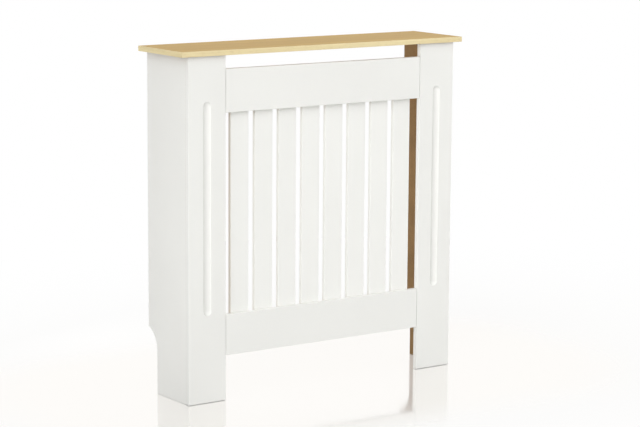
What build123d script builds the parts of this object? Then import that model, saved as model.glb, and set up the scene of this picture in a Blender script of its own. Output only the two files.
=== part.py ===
from build123d import *
from math import acos, degrees
import os

# A flat-packed radiator cover: two L-shaped legs, each a fluted front stile glued
# to a notched side panel, a slatted grille panel between the legs, and a
# wood-effect top.  The back and the bottom are open.
# Origin: on the floor, in the middle of the footprint.  -Y is the front, +Y the
# wall, +Z up.  All sizes are in millimetres.

# ---- overall ----
top_width = 780.0
top_depth = 190.0
overall_height = 800.0
side_overhang = 20.0  # top beyond each side panel
front_overhang = 8.0  # top beyond the stiles
rear_overhang = 5.0  # top beyond the back edges of the side panels

# ---- boards ----
top_thickness = 12.0
side_thickness = 12.0
frame_thickness = 12.0  # stiles and rails
slat_thickness = 9.0
edging_thickness = 1.0  # strips glued round the edges of the top
edging_rounding = 0.6
arris = 0.8  # sanded edge of the painted boards

# ---- stiles ----
stile_width = 98.0
stile_floor_gap = 1.0  # the cover stands on its side panels
corner_radius = 1.2  # outer front corner of each leg
flute_width = 21.0
flute_depth = 5.0
flute_above_floor = 201.0
flute_below_top = 102.0

# ---- rails ----
vent_height = 31.0  # open slot between the top and the top rail
top_rail_width = 98.0
bottom_rail_width = 94.0
under_rail_height = 105.0  # open space below the bottom rail

# ---- slats ----
slat_width = 48.0
slat_gap = 17.0
slat_lap = 40.0  # how far a slat runs up or down behind a rail

# ---- skirting notch in each side panel ----
notch_depth = 38.0
notch_straight_height = 100.0
notch_radius = 56.0

# ---- corner battens ----
batten_size = 18.0
batten_above_floor = 25.0
batten_below_top = 43.0
batten_bevel = 2.0

# ---- small round fixings and their holes are drawn with flat sides ----
peg_sides = 12

# ---- dowels between rails and stiles ----
dowel_radius = 3.0
dowel_length = 30.0
dowel_edge_margin = 17.0  # from a rail's long edge to a dowel's axis
dowel_fit = 0.05
dowel_end_room = 1.0

# ---- wood screws ----
screw_radius = 1.5
screw_head_radius = 3.0
screw_head_height = 1.8
screw_head_bevel = 0.7
screw_bite = 7.0  # how far a screw reaches into a board
screw_fit = 0.05

# ---- flat joining plates behind the rail joints ----
plate_length = 60.0
plate_width = 16.0
plate_thickness = 2.0
plate_corner_bevel = 3.0
plate_hole_inset = 12.0  # from the plate's end to its hole

# ---- fixing blocks under the top ----
block_length = 34.0
block_size = 18.0
block_wall = 8.0  # under a screw head
block_hole_offset = 8.0  # each hole to the middle of the block
block_bevel = 5.0
block_setback = 30.0  # back of the stile to the middle of the front block
block_spacing = 50.0
counterbore_room = 0.7

# ---- wall brackets ----
bracket_height = 40.0
bracket_side_leg = 38.0
bracket_wall_leg = 25.0
bracket_thickness = 2.0
bracket_bend_radius = 1.0
bracket_below_top = 108.0  # to the middle of the bracket
bracket_hole_spacing = 20.0
bracket_hole_radius = 2.25
bracket_screw_inset = 16.0  # back edge of the side panel to its screws

# ---- staples that hold the slats ----
staple_crown = 10.0
staple_wire = 1.0
staple_bite = 5.0  # into the rail
staple_offset = 12.0  # each staple to the slat's centre line

# ---- planes and heights that the pieces share ----
front_y = -top_depth / 2 + front_overhang
frame_back_y = front_y + frame_thickness
frame_middle_y = front_y + frame_thickness / 2
slat_back_y = frame_back_y + slat_thickness
back_y = top_depth / 2 - rear_overhang
wall_y = top_depth / 2
body_half = top_width / 2 - side_overhang
inner_half = body_half - side_thickness
opening_half = body_half - stile_width
under_top_z = overall_height - top_thickness
top_rail_top = under_top_z - vent_height
top_rail_foot = top_rail_top - top_rail_width
bottom_rail_foot = under_rail_height
bottom_rail_top = bottom_rail_foot + bottom_rail_width
slat_foot = bottom_rail_top - slat_lap
slat_top = top_rail_foot + slat_lap
slat_pitch = slat_width + slat_gap
slat_count = int(2 * opening_half / slat_pitch)  # as many as the opening takes
slat_centres = [(i - (slat_count - 1) / 2) * slat_pitch for i in range(slat_count)]

os.makedirs("parts", exist_ok=True)


def save(piece, name):
    """Label a finished piece and write it to its own file."""
    piece.part.label = name
    export_step(piece.part, f"parts/{name}.step")


def facing(direction, x, y, z):
    """A plane at a point, turned the way that a screw head or a hole's mouth faces."""
    return Plane(origin=(x, y, z), z_dir=direction)


def peg(radius, depth, rise=0.0):
    """A many-sided pin along Z, from a depth below its origin to a rise above it."""
    with BuildPart() as made:
        with BuildSketch(Plane.XY.offset(-depth)):
            RegularPolygon(radius, peg_sides)
        extrude(amount=depth + rise)
    return made.part


def screw(length):
    """A pan-headed wood screw, with its origin under the head and its shank along -Z."""
    with BuildPart() as made:
        add(peg(screw_head_radius, 0, screw_head_height))
        chamfer(made.faces().sort_by(Axis.Z).last.edges(), screw_head_bevel)
        add(peg(screw_radius, length))
    return made.part


pilot_hole = peg(screw_radius + screw_fit, screw_bite)

# ---- dowels: along X, across each joint of a rail and a stile ----
dowel_heights = [
    bottom_rail_foot + dowel_edge_margin,
    bottom_rail_top - dowel_edge_margin,
    top_rail_foot + dowel_edge_margin,
    top_rail_top - dowel_edge_margin,
]
dowel_places = [
    facing((1, 0, 0), side * opening_half, frame_middle_y, z) for side in (-1, 1) for z in dowel_heights
]
dowel_reach = dowel_length / 2
dowel_hole_reach = dowel_reach + dowel_end_room
dowel_hole = peg(dowel_radius + dowel_fit, dowel_hole_reach, dowel_hole_reach)
with BuildPart() as rail_dowels:
    with Locations(*dowel_places):
        add(peg(dowel_radius, dowel_reach, dowel_reach))
save(rail_dowels, "rail_dowels")

# ---- joining plates, in the strip of each rail that the slats leave free ----
plate_rows = {
    "lower": (bottom_rail_foot + slat_foot) / 2,
    "upper": (top_rail_top + slat_top) / 2,
}
plate_hole_x = plate_length / 2 - plate_hole_inset
plate_screw_points = [
    (side * opening_half + step, z)
    for side in (-1, 1)
    for z in plate_rows.values()
    for step in (-plate_hole_x, plate_hole_x)
]
plate_front = [facing((0, 1, 0), x, frame_back_y, z) for x, z in plate_screw_points]
plate_back = [facing((0, 1, 0), x, frame_back_y + plate_thickness, z) for x, z in plate_screw_points]
for row, z in plate_rows.items():
    for side_name, side in (("left", -1), ("right", 1)):
        with BuildPart() as joining_plate:
            with BuildSketch(Plane.XZ.offset(-frame_back_y)) as plate_face:
                with Locations((side * opening_half, z)):
                    Rectangle(plate_length, plate_width)
                chamfer(plate_face.vertices(), plate_corner_bevel)
            extrude(amount=-plate_thickness)
            with Locations(*plate_back):
                add(peg(screw_radius + screw_fit, plate_thickness), mode=Mode.SUBTRACT)
        save(joining_plate, f"{row}_{side_name}_joining_plate")

with BuildPart() as plate_screws:
    with Locations(*plate_back):
        add(screw(plate_thickness + screw_bite))
save(plate_screws, "plate_screws")

# ---- staples: the crown flush in the slat's back, the legs through it into the rail ----
staple_leg_x = (staple_crown - staple_wire) / 2
staple_rows = (bottom_rail_top - slat_lap / 2, top_rail_foot + slat_lap / 2)
staple_points = [
    (x + step, slat_back_y, z)
    for x in slat_centres
    for z in staple_rows
    for step in (-staple_offset, staple_offset)
]
with BuildPart() as slat_staples:
    with Locations(*staple_points):
        Box(staple_crown, staple_wire, staple_wire, align=(Align.CENTER, Align.MAX, Align.CENTER))
        with Locations((-staple_leg_x, 0, 0), (staple_leg_x, 0, 0)):
            Box(
                staple_wire,
                slat_thickness + staple_bite,
                staple_wire,
                align=(Align.CENTER, Align.MAX, Align.CENTER),
            )
save(slat_staples, "slat_staples")

# ---- slats: behind the rails, front arrises taken off ----
for number, x in enumerate(slat_centres, start=1):
    with BuildPart() as slat:
        with BuildSketch(Plane.XY.offset(slat_foot)):
            with Locations((x, frame_back_y)):
                Rectangle(slat_width, slat_thickness, align=(Align.CENTER, Align.MIN))
        extrude(amount=slat_top - slat_foot)
        chamfer(slat.edges().filter_by(Axis.Z).group_by(Axis.Y)[0], arris)
        add(slat_staples.part, mode=Mode.SUBTRACT)
    save(slat, f"slat_{number}")


# ---- rails: butted between the stiles, front faces flush with them ----
def rail(foot, width):
    """A rail with its dowel holes, its pilot holes for the plates and its staple slots."""
    with BuildPart() as made:
        with BuildSketch(Plane.XZ.offset(-front_y)):
            with Locations((0, foot)):
                Rectangle(2 * opening_half, width, align=(Align.CENTER, Align.MIN))
        extrude(amount=-frame_thickness)
        chamfer(made.faces().sort_by(Axis.Y)[0].edges(), arris)
        with Locations(*dowel_places):
            add(dowel_hole, mode=Mode.SUBTRACT)
        with Locations(*plate_front):
            add(pilot_hole, mode=Mode.SUBTRACT)
        add(slat_staples.part, mode=Mode.SUBTRACT)
    return made


top_rail = rail(top_rail_foot, top_rail_width)
save(top_rail, "top_rail")

bottom_rail = rail(bottom_rail_foot, bottom_rail_width)
save(bottom_rail, "bottom_rail")

# ---- stiles: the flute is the path of a round-nosed cutter ----
cutter_radius = (flute_width**2 / 4 + flute_depth**2) / (2 * flute_depth)
cutter_y = front_y + flute_depth - cutter_radius
flute_x = body_half - stile_width / 2
flute_low = flute_above_floor + flute_width / 2
flute_high = under_top_z - flute_below_top - flute_width / 2
with BuildPart() as right_stile:
    with BuildSketch(Plane.XY.offset(stile_floor_gap)) as stile_plan:
        with Locations((opening_half, front_y)):
            Rectangle(stile_width, frame_thickness, align=(Align.MIN, Align.MIN))
        front_corners = stile_plan.vertices().group_by(Axis.Y)[0].sort_by(Axis.X)
        chamfer(front_corners.first, arris)
        fillet(front_corners.last, corner_radius)
    extrude(amount=under_top_z - stile_floor_gap)
    chamfer(right_stile.faces().sort_by(Axis.Y).first.edges().sort_by(Axis.Z).first, arris)
    with Locations((flute_x, cutter_y, (flute_low + flute_high) / 2)):
        Cylinder(cutter_radius, flute_high - flute_low, mode=Mode.SUBTRACT)
    with Locations((flute_x, cutter_y, flute_low), (flute_x, cutter_y, flute_high)):
        Sphere(cutter_radius, mode=Mode.SUBTRACT)
    with Locations(*dowel_places):
        add(dowel_hole, mode=Mode.SUBTRACT)
    with Locations(*plate_front):
        add(pilot_hole, mode=Mode.SUBTRACT)
save(right_stile, "right_stile")

with BuildPart() as left_stile:
    mirror(right_stile.part, about=Plane.YZ)
save(left_stile, "left_stile")

# ---- fixing blocks: one screw into the side panel and one up into the top ----
front_block_y = frame_back_y + block_setback
block_middles = {"front": front_block_y, "rear": front_block_y + block_spacing}
block_axis = block_size / 2  # each hole's axis to the board that the other hole's screw enters
block_side_z = under_top_z - block_axis
block_top_x = inner_half - block_axis
block_side_ys = [y - block_hole_offset for y in block_middles.values()]
block_top_ys = [y + block_hole_offset for y in block_middles.values()]
block_screw = screw(block_wall + screw_bite)
with BuildPart() as block_screws:
    with Locations(*[facing((-1, 0, 0), inner_half - block_wall, y, block_side_z) for y in block_side_ys]):
        add(block_screw)
    with Locations(*[facing((0, 0, -1), block_top_x, y, under_top_z - block_wall) for y in block_top_ys]):
        add(block_screw)
    mirror(about=Plane.YZ)
save(block_screws, "block_screws")

block_hole = peg(screw_radius + screw_fit, block_size)
block_counterbore = peg(screw_head_radius + counterbore_room, block_size - block_wall)
for place, y in block_middles.items():
    with BuildPart() as right_block:
        with BuildSketch(Plane.XZ.offset(-(y - block_length / 2))) as block_end:
            with Locations((inner_half, under_top_z)):
                Rectangle(block_size, block_size, align=(Align.MAX, Align.MAX))
            chamfer(block_end.vertices().sort_by_distance((0, y, 0)).first, block_bevel)
        extrude(amount=-block_length)
        with Locations(
            facing((-1, 0, 0), inner_half - block_size, y - block_hole_offset, block_side_z),
            facing((0, 0, -1), block_top_x, y + block_hole_offset, under_top_z - block_size),
        ):
            add(block_hole, mode=Mode.SUBTRACT)
            add(block_counterbore, mode=Mode.SUBTRACT)
    save(right_block, f"right_{place}_fixing_block")
    with BuildPart() as left_block:
        mirror(right_block.part, about=Plane.YZ)
    save(left_block, f"left_{place}_fixing_block")

# ---- wall brackets: bent steel, one leg on the side panel and one flat on the wall ----
bracket_z = under_top_z - bracket_below_top
bracket_hole_heights = (bracket_z - bracket_hole_spacing / 2, bracket_z + bracket_hole_spacing / 2)
bracket_screw_y = back_y - bracket_screw_inset
bracket_face_x = inner_half - bracket_thickness
bracket_hole_x = inner_half - (bracket_wall_leg + bracket_thickness) / 2
bracket_screw_places = [facing((-1, 0, 0), bracket_face_x, bracket_screw_y, z) for z in bracket_hole_heights]
with BuildPart() as right_wall_bracket:
    with BuildSketch(Plane.XY.offset(bracket_z - bracket_height / 2)) as bend:
        with BuildLine():
            Polyline(
                (inner_half, wall_y - bracket_side_leg),
                (inner_half, wall_y),
                (inner_half - bracket_wall_leg, wall_y),
                (inner_half - bracket_wall_leg, wall_y - bracket_thickness),
                (bracket_face_x, wall_y - bracket_thickness),
                (bracket_face_x, wall_y - bracket_side_leg),
                close=True,
            )
        make_face()
        outer_corner = bend.vertices().sort_by_distance((inner_half, wall_y)).first
        fillet(outer_corner, bracket_bend_radius + bracket_thickness)
        inner_corner = bend.vertices().sort_by_distance((bracket_face_x, wall_y - bracket_thickness)).first
        fillet(inner_corner, bracket_bend_radius)
    extrude(amount=bracket_height)
    with Locations(*bracket_screw_places):
        add(peg(screw_radius + screw_fit, bracket_thickness), mode=Mode.SUBTRACT)
    with Locations(*[facing((0, 1, 0), bracket_hole_x, wall_y, z) for z in bracket_hole_heights]):
        Hole(bracket_hole_radius, depth=bracket_thickness)
save(right_wall_bracket, "right_wall_bracket")

with BuildPart() as left_wall_bracket:
    mirror(right_wall_bracket.part, about=Plane.YZ)
save(left_wall_bracket, "left_wall_bracket")

with BuildPart() as bracket_screws:
    with Locations(*bracket_screw_places):
        add(screw(bracket_thickness + screw_bite))
    mirror(about=Plane.YZ)
save(bracket_screws, "bracket_screws")

# ---- side panels: butted behind the stiles, notched to clear the skirting board ----
notch_front_y = back_y - notch_depth
notch_sweep = degrees(acos((notch_radius - notch_depth) / notch_radius))
side_pilots = [(y, block_side_z) for y in block_side_ys]
side_pilots += [(bracket_screw_y, z) for z in bracket_hole_heights]
with BuildPart() as right_side_panel:
    with BuildSketch(Plane.YZ.offset(inner_half)):
        with BuildLine():
            notch_top = CenterArc(
                (notch_front_y + notch_radius, notch_straight_height), notch_radius, 180, -notch_sweep
            )
            Polyline(
                notch_top @ 1,
                (back_y, under_top_z),
                (frame_back_y, under_top_z),
                (frame_back_y, 0),
                (notch_front_y, 0),
                notch_top @ 0,
            )
        make_face()
    extrude(amount=side_thickness)
    outer_edges = right_side_panel.faces().sort_by(Axis.X).last.edges()
    chamfer(outer_edges.filter_by_position(Axis.Y, notch_front_y, back_y), arris)
    with Locations(*[facing((-1, 0, 0), inner_half, y, z) for y, z in side_pilots]):
        add(pilot_hole, mode=Mode.SUBTRACT)
save(right_side_panel, "right_side_panel")

with BuildPart() as left_side_panel:
    mirror(right_side_panel.part, about=Plane.YZ)
save(left_side_panel, "left_side_panel")

# ---- corner battens: glued into the inner corner of each leg ----
with BuildPart() as right_corner_batten:
    with BuildSketch(Plane.XY.offset(batten_above_floor)) as batten_plan:
        with Locations((inner_half, frame_back_y)):
            Rectangle(batten_size, batten_size, align=(Align.MAX, Align.MIN))
        chamfer(batten_plan.vertices().sort_by_distance((0, back_y)).first, batten_bevel)
    extrude(amount=under_top_z - batten_below_top - batten_above_floor)
save(right_corner_batten, "right_corner_batten")

with BuildPart() as left_corner_batten:
    mirror(right_corner_batten.part, about=Plane.YZ)
save(left_corner_batten, "left_corner_batten")

# ---- top panel: a core board, with edging strips round it ----
core_width = top_width - 2 * edging_thickness
core_depth = top_depth - 2 * edging_thickness
with BuildPart() as top_panel:
    with BuildSketch(Plane.XY.offset(under_top_z)):
        Rectangle(core_width, core_depth)
    extrude(amount=top_thickness)
    top_pilots = [(side * block_top_x, y) for side in (-1, 1) for y in block_top_ys]
    with Locations(*[facing((0, 0, -1), x, y, under_top_z) for x, y in top_pilots]):
        add(pilot_hole, mode=Mode.SUBTRACT)
save(top_panel, "top_panel")

long_edging = (top_width, edging_thickness, top_thickness)
short_edging = (edging_thickness, core_depth, top_thickness)
edging_middle_z = under_top_z + top_thickness / 2
front_edging_y = -(top_depth - edging_thickness) / 2
right_edging_x = (top_width - edging_thickness) / 2

with BuildPart() as top_front_edging:
    with Locations((0, front_edging_y, edging_middle_z)):
        Box(*long_edging)
    fillet(top_front_edging.faces().sort_by(Axis.Y).first.edges(), edging_rounding)
save(top_front_edging, "top_front_edging")

with BuildPart() as top_rear_edging:
    mirror(top_front_edging.part, about=Plane.XZ)
save(top_rear_edging, "top_rear_edging")

with BuildPart() as top_right_edging:
    with Locations((right_edging_x, 0, edging_middle_z)):
        Box(*short_edging)
    outer_face = top_right_edging.faces().sort_by(Axis.X).last
    fillet(outer_face.edges().filter_by(Axis.Y), edging_rounding)
save(top_right_edging, "top_right_edging")

with BuildPart() as top_left_edging:
    mirror(top_right_edging.part, about=Plane.YZ)
save(top_left_edging, "top_left_edging")
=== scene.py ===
"""Finished pieces of a slatted radiator cover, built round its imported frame.

Sizes are in metres.  The front is -Y, the wall is +Y and +Z is up, as in the frame.
"""

import math

import bmesh
import bpy
import numpy as np
from bpy.props import FloatProperty, FloatVectorProperty, PointerProperty
from bpy.types import Operator, Panel, PropertyGroup
from mathutils import Matrix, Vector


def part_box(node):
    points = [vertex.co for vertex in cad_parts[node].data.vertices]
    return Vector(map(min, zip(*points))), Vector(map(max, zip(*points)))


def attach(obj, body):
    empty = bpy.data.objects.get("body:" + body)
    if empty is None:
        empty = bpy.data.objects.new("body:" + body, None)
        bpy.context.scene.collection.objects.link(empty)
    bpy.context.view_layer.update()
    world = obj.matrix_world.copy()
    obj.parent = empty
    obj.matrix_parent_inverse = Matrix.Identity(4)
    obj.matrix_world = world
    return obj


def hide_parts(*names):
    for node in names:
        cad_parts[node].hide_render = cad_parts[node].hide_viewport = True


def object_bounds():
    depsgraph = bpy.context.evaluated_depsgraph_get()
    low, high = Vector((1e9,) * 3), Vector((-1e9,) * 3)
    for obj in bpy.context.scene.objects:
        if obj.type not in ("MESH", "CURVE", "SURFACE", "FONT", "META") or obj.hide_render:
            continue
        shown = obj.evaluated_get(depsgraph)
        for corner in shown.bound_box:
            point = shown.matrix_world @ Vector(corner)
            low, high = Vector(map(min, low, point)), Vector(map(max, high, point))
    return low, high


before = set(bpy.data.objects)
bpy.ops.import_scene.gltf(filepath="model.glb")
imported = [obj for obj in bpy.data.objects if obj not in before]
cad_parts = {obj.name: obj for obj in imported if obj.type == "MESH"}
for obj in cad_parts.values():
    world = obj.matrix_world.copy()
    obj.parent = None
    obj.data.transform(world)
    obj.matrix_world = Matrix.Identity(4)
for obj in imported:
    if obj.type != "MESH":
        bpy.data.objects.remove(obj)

bl_info = {
    "name": "Radiator cover",
    "version": (1, 0, 0),
    "blender": (4, 5, 0),
    "location": "View3D > Sidebar > Radiator cover",
    "description": "Builds the finished pieces of a slatted radiator cover on its packed frame",
    "category": "Object",
}

CAD_BOX = [list(corner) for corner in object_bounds()]
ROOT = "root"
MM = 0.001
TOUCHING = 1e-5  # places closer than this are one place
SAME_POINT = 1e-6  # points closer than this are merged
SHARP = 30.0  # degrees between two faces, from which their edge is a sharp one
SLAT_LIGHTNESS = 1.03  # how much lighter the slats' paint is than the frame's
PATTERN_STEP = 1.7  # moves each board's pattern by this share of its corners' sum, so that none match
SCREW_TURN = 0.7  # each screw's cross is turned by this much from the last one's


# ---------------------------------------------------------------- places in the frame


def corners(node):
    """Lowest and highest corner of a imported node, as arrays."""
    low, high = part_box(node)
    return np.array(low), np.array(high)


def nodes_of(*kinds):
    """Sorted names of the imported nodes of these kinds, of which there must be some."""
    names = sorted(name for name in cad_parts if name.rstrip("0123456789").endswith(kinds))
    if not names:
        raise RuntimeError(f"the frame has no {' or '.join(kinds)}")
    return names


def both_sides(kind):
    """The side, name and two corners of the left and the right node of a kind.

    A side is -1 or 1, and x is measured outwards from the middle of the cover.
    """
    for name, side in (("left", -1.0), ("right", 1.0)):
        node = f"{name}_{kind}"
        low, high = corners(node)
        low[0], high[0] = sorted((side * low[0], side * high[0]))
        yield side, node, low, high


# ---------------------------------------------------------------- sizes and colours


def length(name, text, default):
    """A size that can be changed, in metres."""
    return FloatProperty(name=name, description=text, default=default, min=0.0, unit="LENGTH")


def colour(name, text, default):
    """A colour that can be changed, in linear light."""
    return FloatVectorProperty(
        name=name, description=text, default=default, size=3, min=0.0, max=1.0, subtype="COLOR"
    )


def number(name, text, default, low=0.0, high=100.0):
    """A plain number that can be changed."""
    return FloatProperty(name=name, description=text, default=default, min=low, max=high)


class CoverSizes(PropertyGroup):
    """Sizes of the finished edges and of the routed and bent forms."""

    arris: length("Arris", "Rounding of the sanded edges of the painted boards", 0.8 * MM)
    leg_corner: length("Leg corner", "Rounding of the outer front corner of each leg", 1.2 * MM)
    top_edge: length("Top edge", "Rounding of the edging strips' outer edges", 0.6 * MM)
    back_arris: length("Back arris", "Rounding of the edges that sanding only breaks", 0.25 * MM)
    core_edge: length("Core edge", "Rounding of the top's core board", 0.1 * MM)
    batten_edge: length("Batten edge", "Rounding of the battens' edges", 0.4 * MM)
    steel_edge: length("Steel edge", "Rounding of the plates' and brackets' edges", 0.25 * MM)
    plastic_edge: length("Plastic edge", "Rounding of the fixing blocks' edges", 0.35 * MM)
    joint_gap: length("Joint gap", "Hairline between a rail's end and the stile", 1.2 * MM)
    flute_width: length("Flute width", "Width of the routed flute in each stile", 21.0 * MM)
    flute_depth: length("Flute depth", "Depth of the flute on its centre line", 5.0 * MM)
    flute_rim: length("Flute rim", "Rounding that sanding and paint give the flute's rim", 0.4 * MM)
    flute_above_floor: length("Flute foot", "Lower end of the flute above the floor", 201.0 * MM)
    flute_below_top: length("Flute head", "Upper end of the flute below the top", 102.0 * MM)
    notch_depth: length("Notch depth", "Depth of the skirting notch in a side panel", 38.0 * MM)
    notch_height: length("Notch height", "Height of the notch's straight part", 100.0 * MM)
    notch_radius: length("Notch radius", "Radius of the curve that ends the notch", 56.0 * MM)
    batten_bevel: length("Batten bevel", "Planed corner of the corner battens", 2.0 * MM)
    screw_head: length("Screw head", "Radius of a screw's head", 3.0 * MM)
    screw_shank: length("Screw shank", "Radius of a screw's shank", 1.5 * MM)
    head_height: length("Head height", "Height of a screw's head", 1.8 * MM)
    staple_wire: length("Staple wire", "Thickness of the staples' wire", 1.0 * MM)


class CoverColours(PropertyGroup):
    """Colours of the finishes."""

    paint: colour("Paint", "White satin paint", (0.845, 0.845, 0.815))
    board: colour("Bare board", "Unpainted fibreboard", (0.402, 0.258, 0.122))
    foil: colour("Top foil", "Wood-effect foil of the top", (0.568, 0.370, 0.105))
    edging: colour("Edging", "Paler strips round the top", (0.800, 0.685, 0.405))
    softwood: colour("Softwood", "Planed softwood of the battens", (0.600, 0.440, 0.260))
    beech: colour("Beech", "Dowels", (0.580, 0.420, 0.270))
    zinc: colour("Zinc plating", "Plates, brackets and screws", (0.600, 0.610, 0.630))
    wire: colour("Staple wire", "Galvanised staples", (0.520, 0.520, 0.530))
    plastic: colour("Plastic", "Moulded fixing blocks", (0.180, 0.105, 0.058))
    floor: colour("Floor", "Pale studio floor", (0.860, 0.855, 0.840))


class CoverStage(PropertyGroup):
    """Light, floor and camera."""

    sky_level: number("Sky level", "Even light from all round", 0.02)
    left_level: number("Left level", "Soft light from the left, near the front", 2.50)
    front_level: number("Front level", "Broad soft light from high at the front", 1.46)
    right_level: number("Right level", "Broad weak light from the right", 0.93)
    backdrop_level: number("Backdrop level", "Broad light from the backdrop behind, to the right", 1.58)
    side_lamp: number("Side lamp", "Weak strip light close to the front of the left side", 0.31)
    back_lamp: number("Back lamp", "Weak lamp behind, to the left, that shines in at the open back", 0.36)
    lens: number("Lens", "Focal length of the camera in millimetres", 124.31, 1, 1000)
    camera_turn: number("Camera turn", "Radians that the camera looks to the right of +Y", 0.6099)
    camera_tilt: number("Camera tilt", "Radians that the camera looks down", 0.1664)
    camera_roll: number("Camera roll", "Radians that the camera leans", 0.0068, -1, 1)


# ---------------------------------------------------------------- surfaces


def ring_faces(count, around):
    """Numbers of the points of count rings, and the four of each face between two rings.

    Point j of ring i is joined to point j + 1 and to point j of ring i + 1.
    """
    index = np.arange(count * around).reshape(count, around)
    here, there = index[:-1], index[1:]
    faces = np.stack([here, np.roll(here, -1, 1), np.roll(there, -1, 1), there], -1)
    return index, faces.reshape(-1, 4)


def skin(rings):
    """A closed shell over rings of points, with the shape (rings, points, 3).

    The first and last rings are closed with one face each.  The faces are turned outwards.
    """
    index, sides = ring_faces(*rings.shape[:2])
    points, groups = rings.reshape(-1, 3), [sides, index[:1, ::-1], index[-1:]]
    if volume(points, groups) < 0:
        groups = [group[:, ::-1] for group in groups]
    return points, groups


def volume(points, groups):
    """Signed volume of a shell: a sixth of the triple products of its faces, cut into fans."""
    total = 0.0
    for group in groups:
        face = points[group]
        first, second, third = face[:, :1], face[:, 1:-1], face[:, 2:]
        total += np.sum(first * np.cross(second, third))
    return total / 6


def joined(shells):
    """Several shells as one, with each shell's faces counted on from the last."""
    points, groups, start = [], [], 0
    for shell_points, shell_groups in shells:
        points.append(shell_points)
        groups += [group + start for group in shell_groups]
        start += len(shell_points)
    return np.concatenate(points), groups


def prism(outline, axis, start, end):
    """A flat outline, shape (points, 2), carried straight along an axis from start to end."""
    flat = np.delete(np.arange(3), axis)
    rings = np.empty((2, len(outline), 3))
    rings[:, :, flat] = outline
    rings[0, :, axis], rings[1, :, axis] = start, end
    return skin(rings)


def board(low, high, axis=2):
    """A straight board: its cross-section, a rectangle, carried along an axis."""
    flat = np.delete(np.arange(3), axis)
    (left, foot), (right, head) = low[flat], high[flat]
    outline = [(left, foot), (right, foot), (right, head), (left, head)]
    return prism(outline, axis, low[axis], high[axis])


def mirrored(shell, side):
    """A shell drawn for the right-hand side, for either side. A left-hand one has its faces reversed."""
    points, groups = shell
    if side > 0:
        return points, groups
    return points * (-1, 1, 1), [group[:, ::-1] for group in groups]


def link_mesh(mesh, name, flat_angle=None):
    """A new object at the origin with this mesh, its doubles merged and shaded smooth.

    Neighbours that turn by less than a flat angle become one face.
    """
    work = bmesh.new()
    work.from_mesh(mesh)
    bmesh.ops.remove_doubles(work, verts=work.verts, dist=SAME_POINT)
    if flat_angle is None:
        bmesh.ops.dissolve_degenerate(work, edges=work.edges, dist=SAME_POINT / 10)
    else:
        bmesh.ops.dissolve_limit(work, angle_limit=flat_angle, verts=work.verts, edges=work.edges)
    work.to_mesh(mesh)
    work.free()
    mesh.shade_smooth()
    piece = bpy.data.objects.new(name, mesh)
    bpy.context.scene.collection.objects.link(piece)
    return piece


def new_object(name, points, groups):
    """A new object with these points and faces."""
    mesh = bpy.data.meshes.new(name)
    mesh.from_pydata(points, [], [face for group in groups for face in group.tolist()])
    return link_mesh(mesh, name)


def dress(piece, material, slot, *nodes):
    """Gives a piece its material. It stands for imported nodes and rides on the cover."""
    piece.data.materials.append(material)
    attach(piece, ROOT)
    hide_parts(*nodes)
    return piece


def add_piece(name, shells, material, slot, *nodes):
    """A finished piece made of shells."""
    return dress(new_object(name, *joined(shells)), material, slot, *nodes)


def merged_copy(node, name, material, slot):
    """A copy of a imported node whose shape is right, merged so that its edges can be eased."""
    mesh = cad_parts[node].data.copy()
    mesh.name = name
    mesh.materials.clear()
    return dress(link_mesh(mesh, name, math.radians(1)), material, slot, node)


def ease_edges(piece, width, segments=3, angle=SHARP, rule=None):
    """Rounds a piece's sharp edges, or those that rule gives a weight, and keeps flat faces flat."""
    if rule:
        weigh_edges(piece, rule)
    rounding = piece.modifiers.new("Eased edges", "BEVEL")
    rounding.width = width
    rounding.segments = segments
    rounding.limit_method = "WEIGHT" if rule else "ANGLE"
    rounding.angle_limit = math.radians(angle)
    rounding.use_clamp_overlap = False
    normals = piece.modifiers.new("Flat faces", "WEIGHTED_NORMAL")
    normals.keep_sharp = True


def weigh_edges(piece, rule):
    """Gives each edge the weight that rule works out from the middles of all edges, shape (edges, 3).

    Sharp edges that get no weight stay sharp.
    """
    mesh = piece.data
    ends = np.empty(len(mesh.edges) * 2, int)
    mesh.edges.foreach_get("vertices", ends)
    points = np.empty(len(mesh.vertices) * 3)
    mesh.vertices.foreach_get("co", points)
    weights = rule(points.reshape(-1, 3)[ends.reshape(-1, 2)].mean(1))
    layer = mesh.attributes.new("bevel_weight_edge", "FLOAT", "EDGE")
    layer.data.foreach_set("value", weights.astype(np.float32))
    mesh.set_sharp_from_angle(angle=math.radians(SHARP))
    is_sharp = np.empty(len(mesh.edges), bool)
    sharp = mesh.attributes["sharp_edge"]
    sharp.data.foreach_get("value", is_sharp)
    sharp.data.foreach_set("value", is_sharp & (weights == 0))


def box_edges(middles, low, high):
    """Which points lie on each low and high face of a box, and which of them lie along its edges."""
    on_low = np.abs(middles - low) < TOUCHING
    on_high = np.abs(middles - high) < TOUCHING
    return on_low, on_high, (on_low | on_high).sum(1) == 2


# ---------------------------------------------------------------- forms of this cover


def flute_profile(sizes):
    """Distance from the flute's centre line and depth below the face, from the middle outwards.

    A round-nosed cutter leaves an arc whose depth is sqrt(R^2 - d^2) - h, with h the height of the
    cutter's centre above the face.  A small arc, tangent to the cutter's arc and to the face,
    stands for the sanded and painted rim.
    """
    half, deep, rim = sizes.flute_width / 2, sizes.flute_depth, sizes.flute_rim
    cutter = (half**2 + deep**2) / (2 * deep)
    above = cutter - deep
    rim_distance = math.sqrt((cutter + rim) ** 2 - (above + rim) ** 2)
    slope = math.atan2(rim_distance, above + rim)
    swing = np.linspace(0, slope, 13)
    arc = np.stack([cutter * np.sin(swing), cutter * np.cos(swing) - above], 1)
    turn = np.linspace(slope, 0, 6)[1:]
    lip = np.stack([rim_distance - rim * np.sin(turn), rim - rim * np.cos(turn)], 1)
    return np.concatenate([arc, lip])


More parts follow.
